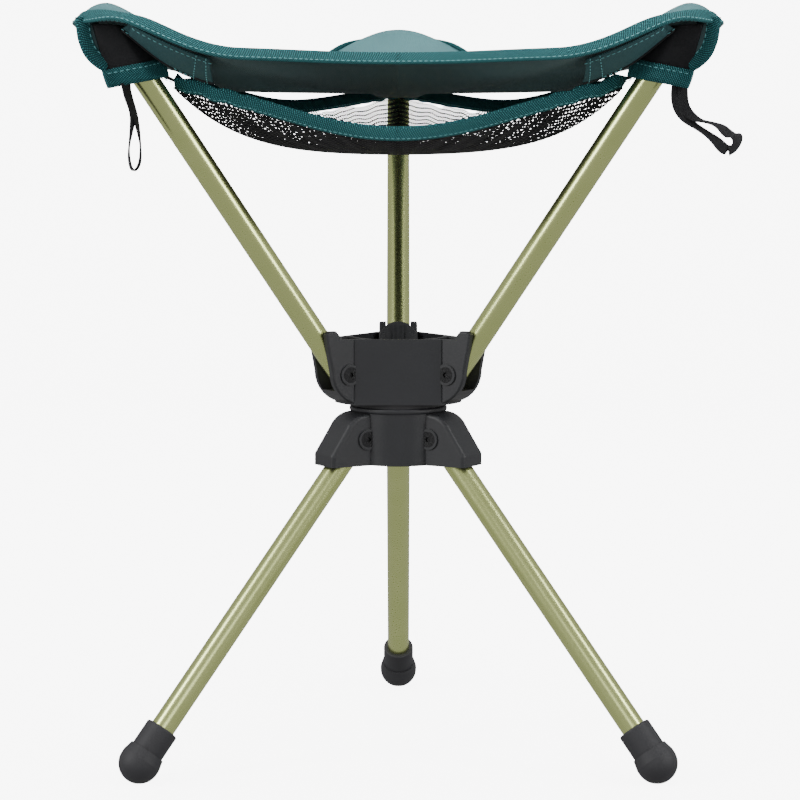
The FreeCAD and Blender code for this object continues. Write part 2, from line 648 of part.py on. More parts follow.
def pull_loop():
    """Webbing loop that hangs from the strap outside the strut: two runs and a round end, in the radial plane."""
    half = loop_spread / 2
    inner, outer = mouth_line(0.0)
    centre_r = outer[0] - half - 4.0
    top_z = outer[1] - seam_gap
    low_z = top_z - loop_drop + half + loop_t

    def stadium(radius):
        slab = Part.makeBox(2 * radius, loop_w, top_z - low_z, Vector(centre_r - radius, -loop_w / 2, low_z))
        return slab.fuse(Part.makeCylinder(radius, loop_w, Vector(centre_r, -loop_w / 2, low_z), Y_AXIS))

    return stadium(half + loop_t).cut(stadium(half)).removeSplitter()


# ---------------------------------------------------------------- the whole stool
def build():
    nodes = {"lower_hub": lower_hub(), "upper_hub": upper_hub()}
    nodes.update(swivel_parts())
    for name, pivot_r, pivot_z in (("leg", leg_pivot_r, leg_pivot_z), ("strut", strut_pivot_r, strut_pivot_z)):
        nodes[f"{name}_pivot_barrels"] = Part.makeCompound([placed(pivot_barrel(pivot_r, pivot_z), a) for a in SIDES.values()])
        nodes[f"{name}_pivot_screws"] = Part.makeCompound([placed(pivot_screw(pivot_r, pivot_z), a) for a in SIDES.values()])
    leg_turn = 180.0 - leg_tilt
    dome = foot(leg_turn)
    for side, azimuth in SIDES.items():
        leg_shapes = {"leg_tube": tube(leg_reach - foot_dome_r + foot_floor), "leg_pivot_plug": pivot_plug()}
        for name, shape in leg_shapes.items():
            nodes[f"{name}_{side}"] = placed(along_tube(shape, leg_pivot_r, leg_pivot_z, leg_turn), azimuth)
        tilted = dome.copy()
        tilted.translate(Vector(0, 0, leg_reach))
        nodes[f"rubber_foot_{side}"] = placed(along_tube(tilted, leg_pivot_r, leg_pivot_z, leg_turn), azimuth)
        strut_shapes = {"strut_tube": tube(strut_reach), "strut_pivot_plug": pivot_plug(), "strut_tip_cap": tip_cap()}
        for name, shape in strut_shapes.items():
            nodes[f"{name}_{side}"] = placed(along_tube(shape, strut_pivot_r, strut_pivot_z, strut_tilt), azimuth)
        for name, shape in {"corner_pocket": corner_pocket(), "pocket_strap": pocket_strap(), "pull_loop": pull_loop()}.items():
            nodes[f"{name}_{side}"] = placed(shape, azimuth)
        nodes[f"corner_gusset_{side}"] = gusset(azimuth)
    nodes.update(sling_parts())
    nodes.update(pouch_parts())
    return nodes


def centred(nodes):
    """Moves everything so that the origin is under the middle of the seat's plan."""
    box = nodes["seat_binding"].BoundBox
    move = Vector(0, -(box.YMin + box.YMax) / 2, 0)
    print(f"swivel axis at y {move.y:.5f}")
    for shape in nodes.values():
        shape.translate(move)
    return nodes


def main():
    os.makedirs("parts", exist_ok=True)
    for name, shape in centred(build()).items():
        shape.exportStep(f"parts/{name}.step")
        print(f"{name}: {len(shape.Solids)} solid, {shape.Volume / 1000:.2f} cm3, valid {shape.isValid()}")


main()
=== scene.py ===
# %% [markdown]
# # A three leg folding stool
# The frame comes first. It holds the hard parts of the stool, already in place, and the joints that they
# move on.

# %% The frame
import bpy
import json
import math
import numpy as np
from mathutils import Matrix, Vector

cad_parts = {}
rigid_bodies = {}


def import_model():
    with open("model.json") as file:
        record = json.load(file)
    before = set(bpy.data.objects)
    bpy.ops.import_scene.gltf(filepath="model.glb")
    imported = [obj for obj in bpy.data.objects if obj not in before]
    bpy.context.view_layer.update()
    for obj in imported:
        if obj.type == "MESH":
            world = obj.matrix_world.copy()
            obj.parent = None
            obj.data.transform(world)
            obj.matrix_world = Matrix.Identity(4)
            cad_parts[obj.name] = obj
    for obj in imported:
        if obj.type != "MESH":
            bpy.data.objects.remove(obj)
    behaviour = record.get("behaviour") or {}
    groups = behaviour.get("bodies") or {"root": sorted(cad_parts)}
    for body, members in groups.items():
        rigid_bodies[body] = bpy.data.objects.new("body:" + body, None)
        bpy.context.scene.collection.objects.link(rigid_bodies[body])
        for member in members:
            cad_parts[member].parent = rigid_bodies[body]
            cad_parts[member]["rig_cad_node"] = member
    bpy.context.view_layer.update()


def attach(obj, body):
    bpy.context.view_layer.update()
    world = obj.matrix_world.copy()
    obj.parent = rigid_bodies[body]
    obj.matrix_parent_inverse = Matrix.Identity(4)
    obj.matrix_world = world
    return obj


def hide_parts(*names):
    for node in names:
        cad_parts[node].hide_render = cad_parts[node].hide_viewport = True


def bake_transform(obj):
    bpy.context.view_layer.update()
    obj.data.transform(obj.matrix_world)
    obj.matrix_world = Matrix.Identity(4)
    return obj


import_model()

# %% [markdown]
# ## The stool's main lines
# Everything is in metres. The stool has three equal corners, at 210, 330 and 90 degrees round its swivel
# axis, so most pieces are made once in a corner's own directions: along the corner, across it, and up.

# %% Main lines
MM = 0.001
CORNERS = {"front_left": 210.0, "front_right": 330.0, "rear": 90.0}
TUBE_R = 7.25 * MM
AXIS_Y = -33.76 * MM                      # the swivel axis, in front of the origin
STRUT_TILT = math.radians(35.9)
STRUT_PIVOT = (40.0 * MM, 233.6 * MM)      # radius and height


def corner_axes(azimuth):
    """Unit vectors along a corner and across it, in degrees of azimuth."""
    a = math.radians(azimuth)
    return np.array([math.cos(a), math.sin(a), 0.0]), np.array([-math.sin(a), math.cos(a), 0.0])


def place(points, azimuth):
    """Points given as (along, across, up) of one corner, moved to where they stand on the stool."""
    along, across = corner_axes(azimuth)
    points = np.asarray(points, float)
    return points[..., :1] * along + points[..., 1:2] * across + points[..., 2:] * np.array([0, 0, 1.0])


def smooth(x):
    x = np.clip(x, 0.0, 1.0)
    return x * x * (3 - 2 * x)


print("strut pivots at", STRUT_PIVOT)

# %% [markdown]
# ## Shader maths
# A material is a chain of nodes. `Wire` wraps one output socket, so that an expression such as
# `1 - mask * 0.5` adds the Math nodes it needs. Colours go through Mix nodes.

# %% Wires
class Wire:
    def __init__(self, tree, socket):
        self.tree, self.socket = tree, socket

    def node(self, kind, settings=None, inputs=None, output=0):
        """Adds any node: its type, its settings, then the values or wires of its inputs."""
        made = self.tree.nodes.new(kind)
        for key, value in (settings or {}).items():
            setattr(made, key, value)
        for key, value in (inputs or {}).items():
            if isinstance(value, Wire):
                self.tree.links.new(value.socket, made.inputs[key])
            else:
                made.inputs[key].default_value = value
        return Wire(self.tree, made.outputs[output])

    def maths(self, operation, *values):
        return self.node("ShaderNodeMath", {"operation": operation}, dict(enumerate(values)))

    def __add__(self, other):
        return self.maths("ADD", self, other)

    def __sub__(self, other):
        return self.maths("SUBTRACT", self, other)

    def __rsub__(self, other):
        return self.maths("SUBTRACT", other, self)

    def __mul__(self, other):
        return self.maths("MULTIPLY", self, other)

    __radd__, __rmul__ = __add__, __mul__

    def sine(self):
        return self.maths("SINE", self)

    def between(self, low, high):
        """0 below low, 1 above high, and an even slope between."""
        limits = {"Value": self, "From Min": low, "From Max": high}
        return self.node("ShaderNodeMapRange", {"clamp": True}, limits)

    def mix(self, first, second):
        """The first colour where this is 0, the second where it is 1."""
        sides = {"Factor": self, "A": first, "B": second}
        made = self.tree.nodes.new("ShaderNodeMix")
        made.data_type = "RGBA"
        for key, value in sides.items():
            socket = next(s for s in made.inputs if s.name == key and s.enabled)
            if isinstance(value, Wire):
                self.tree.links.new(value.socket, socket)
            else:
                socket.default_value = (*value, 1) if key != "Factor" else value
        return Wire(self.tree, next(s for s in made.outputs if s.enabled))

    def part(self, axis):
        return self.node("ShaderNodeSeparateXYZ", None, {"Vector": self}, "XYZ".index(axis))


def noise(place_wire, scale, detail=2.0, roughness=0.5):
    return place_wire.node("ShaderNodeTexNoise", None,
                           {"Vector": place_wire, "Scale": scale, "Detail": detail, "Roughness": roughness})


DEFAULT_BUMP = 0.2 * MM
bump_depths = {}                           # how deep the bumps of a finish are, by its name


def finish(name, paint, **constants):
    """A new material. paint(where, uv) returns what varies, by socket; constants go on the shader."""
    material = bpy.data.materials.new(name)
    material.use_nodes = True
    tree = material.node_tree
    shader = next(n for n in tree.nodes if n.type == "BSDF_PRINCIPLED")
    for key, value in constants.items():
        socket = shader.inputs[key.replace("_", " ")]
        socket.default_value = (*value, 1) if isinstance(value, tuple) else value
    coordinates = tree.nodes.new("ShaderNodeTexCoord")
    where, uv = Wire(tree, coordinates.outputs["Object"]), Wire(tree, coordinates.outputs["UV"])
    for key, wire in paint(where, uv).items():
        if key == "Height":
            depth = bump_depths.get(name, DEFAULT_BUMP)
            wire = wire.node("ShaderNodeBump", None, {"Height": wire, "Distance": depth, "Strength": 1.0})
            key = "Normal"
        tree.links.new(wire.socket, shader.inputs[key])
    return material


print("shader helpers ready")

# %% [markdown]
# ## Anodised tubes
# Drawn aluminium tube, anodised and dyed olive green. The dye lies in the oxide, so it tints the
# reflections: a metal with a coloured base. Drawing leaves faint lines along the tube; a fine, even noise
# gives the surface a faint grain instead.

# %% Tube finish
def tube_paint(where, uv):
    fine = noise(where, 900.0, 3.0)
    patch = noise(where, 60.0, 2.0)
    shade = (patch * 0.35 + fine * 0.3).between(0.15, 0.6)
    return {"Base Color": shade.mix((0.64, 0.72, 0.28), (0.75, 0.81, 0.36)),
            "Roughness": 0.20 + fine * 0.13,
            "Height": fine}


bump_depths["anodised tube"] = 0.00001
TUBE = finish("anodised tube", tube_paint, Metallic=1.0)

# %% [markdown]
# ## Moulded plastic, rubber and small steel
# The hubs are black glass-filled nylon with a fine spark-eroded grain. The feet are softer and duller. Both
# are nearly black with a broad, weak gloss, and a noise of about half a millimetre makes the grain.

# %% Hub, foot and steel finishes
def grain_paint(dark, light, rough, scale):
    def paint(where, uv):
        grain = noise(where, scale, 3.0, 0.6)
        cloud = noise(where, 35.0, 2.0)
        return {"Base Color": (cloud * 0.6 + grain * 0.4).between(0.3, 0.7).mix(dark, light),
                "Roughness": rough + grain * 0.16,
                "Height": grain}
    return paint


bump_depths["hub plastic"] = 0.00006
bump_depths["foot rubber"] = 0.0001
HUB = finish("hub plastic", grain_paint((0.015, 0.0155, 0.018), (0.021, 0.022, 0.025), 0.40, 2600.0),
             IOR=1.5)
FOOT = finish("foot rubber", grain_paint((0.022, 0.022, 0.025), (0.032, 0.032, 0.036), 0.54, 1700.0),
              IOR=1.48)
SCREW = finish("black oxide screw", grain_paint((0.010, 0.010, 0.011), (0.018, 0.018, 0.019), 0.30, 3000.0),
               Metallic=0.6)
PLUG = finish("nylon plug", grain_paint((0.018, 0.018, 0.020), (0.026, 0.026, 0.028), 0.45, 1500.0), IOR=1.5)
ZINC = finish("zinc plated steel", grain_paint((0.52, 0.52, 0.53), (0.66, 0.66, 0.66), 0.22, 900.0),
              Metallic=1.0)

# %% [markdown]
# ## Cloths
# Four cloths: the coated seat cloth, grey-teal below and paler above, the ribbed teal tape, the black
# pocket cloth and black webbing. Their weave follows UV coordinates measured in metres along and across the
# piece, so a thread keeps its size everywhere. A sine across and a sine along, multiplied, give a plain
# weave's bumps.

# %% Cloth finishes
def weave(uv, pitch_u, pitch_v):
    u = uv.part("X") * (2 * math.pi / pitch_u)
    v = uv.part("Y") * (2 * math.pi / pitch_v)
    return u.sine() * v.sine()


def seat_paint(colour_low, colour_high):
    def paint(where, uv):
        threads = weave(uv, 1.1 * MM, 1.1 * MM)
        cloud = noise(where, 26.0, 3.0)
        return {"Base Color": (cloud * 0.8 + threads * 0.10).between(0.25, 0.65).mix(colour_low, colour_high),
                "Roughness": 0.44 + cloud * 0.16,
                "Height": threads * 0.35 + cloud * 0.9}
    return paint


def tape_paint(dark, mid, thread):
    """Ribbed tape: slanting rows of dark cord with paler thread between, partly the weave's pattern and
    partly a painted highlight: thread glints painted into the colour.
    """
    def paint(where, uv):
        u, v = uv.part("X"), uv.part("Y")
        rib = ((u + v * 0.55) * (2 * math.pi / (1.35 * MM))).sine()
        pick = ((u * 0.55 - v) * (2 * math.pi / (1.15 * MM))).sine()
        stray = noise(where, 1500.0, 2.0)
        # painted highlight: the pale thread colour here is partly the weave's pattern and partly glints off
        # the threads painted into the colour
        glint_floats = rib.between(0.25, 0.85) * pick.between(-0.1, 0.7) * (0.55 + stray * 0.9)
        glint_float_mask = glint_floats.between(0.05, 0.85)
        body = (rib * 0.5 + 0.5).mix(dark, mid)
        return {"Base Color": glint_float_mask.mix(body, thread),
                "Roughness": 0.62 + stray * 0.2,
                "Height": rib * 0.5 + pick * 0.35 + stray * 0.2}
    return paint


def black_paint(dark, light, pitch):
    def paint(where, uv):
        threads = weave(uv, pitch, pitch)
        cloud = noise(where, 90.0, 2.0)
        return {"Base Color": (threads * 0.25 + cloud * 0.6).between(0.1, 0.6).mix(dark, light),
                "Roughness": 0.55 + cloud * 0.2,
                "Height": threads}
    return paint


bump_depths.update({"seat cloth underside": 0.00035, "seat cloth top": 0.0003, "ribbed tape": 0.00035,
                        "pocket cloth": 0.00012, "black webbing": 0.0003, "pouch thread": 0.0001})
UNDERSIDE = finish("seat cloth underside", seat_paint((0.052, 0.104, 0.110), (0.068, 0.132, 0.138)),
                   Specular_IOR_Level=0.5)
TOPSIDE = finish("seat cloth top", seat_paint((0.085, 0.235, 0.255), (0.105, 0.285, 0.305)),
                 Specular_IOR_Level=0.4)
# The third colour of each tape is its pale thread, partly real and partly a painted highlight: thread glints
# painted into the colour, dimmer on the gusset tape.
TAPE = finish("ribbed tape", tape_paint((0.0035, 0.054, 0.064), (0.009, 0.118, 0.130), (0.10, 0.42, 0.43)),
              Specular_IOR_Level=0.35)
GUSSET = finish("gusset tape", tape_paint((0.022, 0.075, 0.085), (0.040, 0.120, 0.130), (0.075, 0.20, 0.21)),
                Specular_IOR_Level=0.35)
STITCH = finish("stitching thread", lambda where, uv: {"Roughness": 0.5 + noise(where, 800.0) * 0.2},
                Base_Color=(0.17, 0.46, 0.48))
POCKET = finish("pocket cloth", black_paint((0.010, 0.010, 0.012), (0.020, 0.020, 0.023), 0.7 * MM),
                Specular_IOR_Level=0.35)
WEBBING = finish("black webbing", black_paint((0.012, 0.012, 0.014), (0.026, 0.026, 0.029), 1.1 * MM),
                 Specular_IOR_Level=0.35)
NET = finish("pouch thread", black_paint((0.008, 0.008, 0.010), (0.016, 0.016, 0.019), 0.6 * MM),
             Specular_IOR_Level=0.3)
print("materials:", len(bpy.data.materials))

# %% [markdown]
# ## Building cloth from rows of points
# Each cloth is a grid of points. `make_mesh` turns points and faces into an object with UVs, and
# `thin_cloth` gives a grid two faces and closed edges, so that it is a real, very thin solid. UVs are
# running lengths in metres.

# %% Mesh helpers
def make_mesh(name, points, faces, materials, uvs=None, material_of=None, is_smooth=True):
    mesh = bpy.data.meshes.new(name)
    moved = [(p[0], p[1] + AXIS_Y, p[2]) for p in points]
    mesh.from_pydata(moved, [], [tuple(int(i) for i in f) for f in faces])
    for material in materials:
        mesh.materials.append(material)
    if material_of is not None:
        mesh.polygons.foreach_set("material_index", np.asarray(material_of, np.int32))
    mesh.polygons.foreach_set("use_smooth", np.full(len(mesh.polygons), is_smooth))
    if uvs is not None:
        layer = mesh.uv_layers.new(name="UVMap")
        loops = np.empty(len(mesh.loops), np.int32)
        mesh.loops.foreach_get("vertex_index", loops)
        layer.data.foreach_set("uv", np.asarray(uvs, np.float32)[loops].ravel())
    made = bpy.data.objects.new(name, mesh)
    bpy.context.scene.collection.objects.link(made)
    return made


def from_start(steps, axis):
    """Running total of the lengths of steps along one axis of a grid, from zero."""
    lengths = np.linalg.norm(steps, axis=-1)
    start = np.zeros_like(np.take(lengths, [0], axis=axis))
    return np.concatenate([start, np.cumsum(lengths, axis=axis)], axis=axis)


def running_lengths(grid):
    """UVs of a grid in metres: the length along each row and down each column, from its start."""
    across = from_start(np.diff(grid, axis=0), 0)
    along = from_start(np.diff(grid, axis=1), 1)
    return np.stack([along, across], axis=-1)


def grid_normals(grid):
    du = np.gradient(grid, axis=1)
    dv = np.gradient(grid, axis=0)
    n = np.cross(du, dv)
    return n / np.maximum(np.linalg.norm(n, axis=-1, keepdims=True), 1e-12)


def thin_cloth(name, grid, thickness, materials, normals=None):
    """A closed thin solid: one face on a grid of points, the other a thickness along its normals."""
    rows, columns = grid.shape[:2]
    normals = grid_normals(grid) if normals is None else normals
    other = grid + normals * thickness
    points = np.concatenate([grid.reshape(-1, 3), other.reshape(-1, 3)])
    uvs = np.concatenate([running_lengths(grid).reshape(-1, 2)] * 2)
    size = rows * columns
    faces, slots = [], []
    for i in range(rows - 1):
        for j in range(columns - 1):
            a, b = i * columns + j, i * columns + j + 1
            c, d = b + columns, a + columns
            faces += [(a, d, c, b), (a + size, b + size, c + size, d + size)]
            slots += [0, 1 if len(materials) > 1 else 0]
    rims = [(i * columns + j, i * columns + j + 1) for i in (0, rows - 1) for j in range(columns - 1)]
    rims += [(i * columns + j, (i + 1) * columns + j) for j in (0, columns - 1) for i in range(rows - 1)]
    flips = [False] * (columns - 1) + [True] * (columns - 1) + [True] * (rows - 1) + [False] * (rows - 1)
    for (a, b), flip in zip(rims, flips):
        face = (a, b, b + size, a + size)
        faces.append(face[::-1] if flip else face)
        slots.append(0)
    return make_mesh(name, points, faces, materials, uvs, slots)


def swept_strip(name, centre, wide, deep, width, thickness, material, bulge=0.25):
    """A tape swept along points: its section is a flat oval, width along wide and thickness along deep."""
    turn = np.linspace(0, 2 * math.pi, 16, endpoint=False)
    flat = np.sign(np.cos(turn)) * np.abs(np.cos(turn)) ** 0.6
    round_ = np.sign(np.sin(turn)) * np.abs(np.sin(turn)) ** (0.6 + bulge)
    out = wide[:, None] * (flat * width / 2)[None, :, None]
    off = deep[:, None] * (round_ * thickness / 2)[None, :, None]
    ring = centre[:, None] + out + off
    count, around = ring.shape[:2]
    run = from_start(np.diff(centre, axis=0), 0)
    girth = flat * width / 2 + np.sin(turn) * thickness
    uv = np.stack(np.broadcast_arrays(run[:, None], girth[None, :]), axis=-1)
    faces = []
    for i in range(count - 1):
        for j in range(around):
            k = (j + 1) % around
            faces.append((i * around + j, i * around + k, (i + 1) * around + k, (i + 1) * around + j))
    faces += [tuple(range(around))[::-1], tuple((count - 1) * around + j for j in range(around))]
    return make_mesh(name, ring.reshape(-1, 3), faces, [material], uv.reshape(-1, 2))


def unit(v):
    return v / np.maximum(np.linalg.norm(v, axis=-1, keepdims=True), 1e-12)


def evenly(points, step):
    """Points at equal steps along a polyline."""
    run = from_start(np.diff(points, axis=0), 0)
    count = max(2, int(round(run[-1] / step)))
    at = np.linspace(0, run[-1], count)
    return np.stack([np.interp(at, run, points[:, k]) for k in range(3)], axis=1)


def stitches(name, line, lift, length=2.1 * MM, gap=1.1 * MM, thick=0.30 * MM):
    """Small raised stitches along a line of points, pressed into the cloth that lift points away from."""
    marks = evenly(line, length + gap)
    given, wanted = np.linspace(0, 1, len(lift)), np.linspace(0, 1, len(marks))
    lifts = np.stack([np.interp(wanted, given, lift[:, k]) for k in range(3)], axis=1)
    along = unit(np.gradient(marks, axis=0))
    lifts = unit(lifts - along * np.sum(lifts * along, axis=1, keepdims=True))
    side = np.cross(along, lifts)
    points, faces = [], []
    for m, a, l, s in zip(marks, along, lifts, side):
        base = len(points)
        for x, r in ((-0.5, 0.35), (-0.3, 1.0), (0.3, 1.0), (0.5, 0.35)):
            for k in range(6):
                t = 2 * math.pi * k / 6
                points.append(m + a * x * length + (l * math.sin(t) + s * math.cos(t)) * thick * r)
        for i in range(3):
            for k in range(6):
                q = (k + 1) % 6
                faces.append((base + i * 6 + k, base + i * 6 + q, base + i * 6 + 6 + q, base + i * 6 + 6 + k))
        faces += [tuple(base + k for k in range(6))[::-1], tuple(base + 18 + k for k in range(6))]
    return make_mesh(name, points, faces, [STITCH])


def smooth_curve(points, count):
    """A curve through points: even quadratic blends of its chords."""
    points = np.asarray(points, float)
    for _ in range(3):
        near, far = points[:-1], points[1:]
        cut = np.stack([near * 0.75 + far * 0.25, near * 0.25 + far * 0.75], axis=1)
        points = np.concatenate([points[:1], cut.reshape(-1, 3), points[-1:]])
    run = from_start(np.diff(points, axis=0), 0)
    at = np.linspace(0, run[-1], count)
    return np.stack([np.interp(at, run, points[:, k]) for k in range(3)], axis=1)


def corner_strip(name, azimuth, middle, wide, deep, width, thickness, material, bulge=0.25):
    """A swept strip given in a corner's own directions, made where it stands on the stool."""
    middle, wide, deep = place(middle, azimuth), place(wide, azimuth), place(deep, azimuth)
    return swept_strip(name, middle, wide, deep, width, thickness, material, bulge=bulge)


def corner_stitches(name, azimuth, line, lift, **sizes):
    """Stitches given in a corner's own directions, made where they stand on the stool."""
    return stitches(name, place(line, azimuth), place(lift, azimuth), **sizes)


print("mesh helpers ready")

# %% [markdown]
# ## The seat sling
# One coated cloth with three corners. Each side bows in towards the axis and its edge rises to the corners,
# where the cloth goes over a strut's tip and its edge turns down a little. We describe it as columns that
# run from the axis out to the edge, and make it as three thirds that meet on the middles of the sides.

# %% Sling shape
SLING_CENTRE, SLING_MID, SLING_TIP = 402.0 * MM, 418.5 * MM, 449.5 * MM
TIP_R, MID_R, ROUND_R = 190.5 * MM, 85.0 * MM, 58.0 * MM
RISE, FLAP_HALF = 80.0 * MM, 50.0 * MM
FLAP, LIP = 13.0 * MM, 4.0 * MM
FLAP_TURN, LIP_TURN = math.radians(62), math.radians(-10)
SLING_T = 0.9 * MM


def third_outline(count):
    """Crest of one corner's third in plan, as (along, across), from one side's middle to the next."""
    centre_r = TIP_R - ROUND_R
    straight = centre_r / 2 + ROUND_R
    half = centre_r * math.sin(math.radians(60))
    k = np.linspace(0, 1, 60)
    side = np.stack([half * k, -straight + (straight - MID_R) * np.cos(math.pi / 2 * k) ** 2], axis=1)
    turn = math.radians(60)
    # the side's own frame has the corner at +30 degrees past +x; turn it so that the corner lies along +x
    c, s = math.cos(math.radians(30)), math.sin(math.radians(30))
    side = side @ np.array([[c, s], [-s, c]])
    bend = np.linspace(-turn, 0, 30)[1:]
    arc = np.stack([centre_r + ROUND_R * np.cos(bend), ROUND_R * np.sin(bend)], axis=1)
    half_line = np.concatenate([side, arc])
    whole = np.concatenate([half_line, (half_line * [1, -1])[-2::-1]])
    run = from_start(np.diff(whole, axis=0), 0)
    at = np.linspace(0, run[-1], count)
    return np.stack([np.interp(at, run, whole[:, 0]), np.interp(at, run, whole[:, 1])], axis=1)


def eased(distance, length):
    return (1 + np.cos(math.pi * np.minimum(1.0, distance / length))) / 2


def sling_grid(count, rows, flap_rows):
    """Rows from the axis to the sling's edge, for one third."""
    plan = third_outline(count)
    tangent = np.gradient(plan, axis=0)
    outward = unit(np.stack([tangent[:, 1], -tangent[:, 0]], axis=1))
    for end, angle in ((0, -60), (-1, 60)):
        outward[end] = [math.cos(math.radians(angle)), math.sin(math.radians(angle))]
    distance = np.linalg.norm(plan - [TIP_R, 0], axis=1)
    lift = 0.9 * eased(distance, RISE) + 0.1 * eased(distance, 1.8 * RISE)
    crest = SLING_MID + (SLING_TIP - SLING_MID) * lift
    shares = np.maximum(0.002, np.linspace(0, 1, rows + 1)) ** 0.9
    level = 0.6 * lift
    grid = []
    for share in shares:
        rise = np.maximum(0, (share - level) / (1 - level)) ** (2.2 - 1.05 * lift)
        height = SLING_CENTRE + (crest - SLING_CENTRE) * rise
        grid.append(np.stack([plan[:, 0] * share, plan[:, 1] * share, height], axis=1))
    turned = eased(distance, FLAP_HALF)
    step = (LIP + (FLAP - LIP) * turned) / flap_rows
    for k in range(1, flap_rows + 1):
        angle = (LIP_TURN + (FLAP_TURN - LIP_TURN) * turned) * k / flap_rows
        last = grid[-1]
        level_step = outward * step[:, None] * np.cos(angle)[:, None]
        grid.append(last + np.column_stack([level_step, -step * np.sin(angle)]))
    grid = np.array(grid)
    # slack cloth between the corners and the level belly: soft folds that run towards the struts
    angle = np.arctan2(grid[..., 1], grid[..., 0])
    radius = np.hypot(grid[..., 0], grid[..., 1])
    folds = np.cos(angle * 9) * np.exp(-((radius - 0.135) / 0.030) ** 2) * np.exp(-(angle / 0.42) ** 2)
    grid[..., 2] += 0.8 * MM * folds
    return grid


sling = sling_grid(121, 40, 14)
print("sling rows and columns:", sling.shape[:2], "lowest", round(float(sling[..., 2].min()), 4))

# %% [markdown]
# ## Sewing the thirds so that they look like one cloth
# Two thirds meet on a mirror plane of the stool, so the true normal there lies in that plane. We lay the
# normals of each third's two border columns into it and store them, and the joint between thirds can't be
# seen.

# %% Sling thirds
def border_normals(grid):
    normals = grid_normals(grid)
    for column, angle in ((0, -60), (-1, 60)):
        a = math.radians(angle)
        across = np.array([-math.sin(a), math.cos(a), 0])
        n = normals[:, column]
        normals[:, column] = unit(n - across * (n @ across)[:, None])
    return normals


def keep_normals(made, normals):
    made.data.normals_split_custom_set_from_vertices([tuple(n) for n in normals])


def bends(made):
    """Bakes the piece's placement into its mesh."""
    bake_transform(made)
    return made


lower_n = -border_normals(sling)
lower_n *= np.sign(lower_n[5, 60, 2]) * -1
print("underside faces down:", bool(lower_n[5, 60, 2] < 0))
for corner, azimuth in CORNERS.items():
    top = place(sling, azimuth)
    down = place(lower_n, azimuth)
    cloth = thin_cloth(f"seat_sling_{corner}", top, SLING_T, [TOPSIDE, UNDERSIDE], normals=down)
    both = np.concatenate([-down.reshape(-1, 3), down.reshape(-1, 3)])
    keep_normals(cloth, both)
    bends(cloth)
    if corner == "front_left":
        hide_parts("seat_sling")

# %% [markdown]
# ## The binding round the seat
# A ribbed tape is folded over the cloth's raw edge. It is a flat oval section swept along the edge:
# standing up along the sides, and lying in the cloth's own surface where the corner turns down. A row of
# stitches on each face holds it.

# %% Seat binding
BINDING_W, BINDING_T = 8.6 * MM, 2.6 * MM
SEAM_AT, SEAM_OFF = 0.36, 0.44             # where its stitches run: shares of its width and thickness
edge, before = sling[-1], sling[-3]
surface = unit(edge - before)
tangent = unit(np.gradient(edge, axis=0))
turned = eased(np.linalg.norm(third_outline(len(edge)) - [TIP_R, 0], axis=1), FLAP_HALF)[:, None]
stand = unit(np.array([0, 0, -1.0]) * 0.85 + surface * 0.6)
wide = unit(stand * (1 - smooth(turned * 1.6)) + surface * smooth(turned * 1.6))
wide = unit(wide - tangent * np.sum(wide * tangent, axis=1, keepdims=True))
deep = np.cross(tangent, wide)
middle = edge + surface * 1.2 * MM + wide * 0.4 * MM
for corner, azimuth in CORNERS.items():
    tape = corner_strip(f"seat_binding_{corner}", azimuth, middle, wide, deep, BINDING_W, BINDING_T, TAPE)
    bends(tape)
    if corner == "front_left":
        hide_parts("seat_binding")
    for side, sign in (("out", 1), ("in", -1)):
        seam = middle + wide * BINDING_W * SEAM_AT + deep * sign * BINDING_T * SEAM_OFF
        thread = corner_stitches(f"seat_binding_stitches_{side}_{corner}", azimuth, seam, deep * sign)
        bends(thread)
print("binding runs", round(float(np.linalg.norm(np.diff(edge, axis=0), axis=1).sum() * 3), 3), "m")

# %% [markdown]
# ## Corner pockets
# Under each corner a flat sheath of black cloth takes the strut's tip. It stands edge-on, in the corner's
# own upright plane, and its two walls lie on the tube and meet in seams beyond it. We loft loops of points
# from its mouth to its top. The same loop, grown a little and swept a short way, is the teal strap that is
# sewn round the mouth.

# %% Pocket shape
MOUTH = np.array([[154.0, 409.0], [187.5, 402.0]]) * MM       # inner and outer end of the strap's lower edge
STRAP_TOP = np.array([[156.0, 419.6], [191.0, 412.0]]) * MM
CROWN = np.array([[177.0, 436.5], [198.5, 437.5]]) * MM
SEAM_T = 1.5 * MM
SEAM_RISE = 0.78                           # how far up the strap its stitches run, 0 to 1


def strut_distance(points):
    """How far points of the corner's upright plane are from the strut's axis."""
    axis = np.array([math.sin(STRUT_TILT), math.cos(STRUT_TILT)])
    gap = points - np.array(STRUT_PIVOT)
    return np.abs(gap[..., 0] * axis[1] - gap[..., 1] * axis[0])


def sheath_half(points, wall, reach=17.0 * MM):
    """Half the sheath's thickness: it wraps the tube and falls in a straight line to its seams."""
    d = strut_distance(points)
    tube = np.sqrt(np.maximum((TUBE_R + wall) ** 2 - d ** 2, 0))
    tent = (TUBE_R + wall) * 1.08 * np.clip(1 - d / reach, 0, 1)
    return np.maximum(np.maximum(tube, tent), SEAM_T / 2)


def sheath_loop(inner, outer, wall, grow=0.0, samples=26):
    """One closed loop round the sheath, between its inner and outer seam points in the upright plane."""
    s = (1 - np.cos(np.linspace(0, math.pi, samples))) / 2
    direction = unit(outer - inner)
    line = inner - direction * grow + (outer - inner + 2 * direction * grow) * s[:, None]
    half = sheath_half(line, wall) + grow * np.sin(math.pi * np.clip(s, 0.02, 0.98)) ** 0.2
    near = np.stack([line[:, 0], -half, line[:, 1]], axis=1)
    far = np.stack([line[:, 0], half, line[:, 1]], axis=1)
    return np.concatenate([near, far[::-1]])


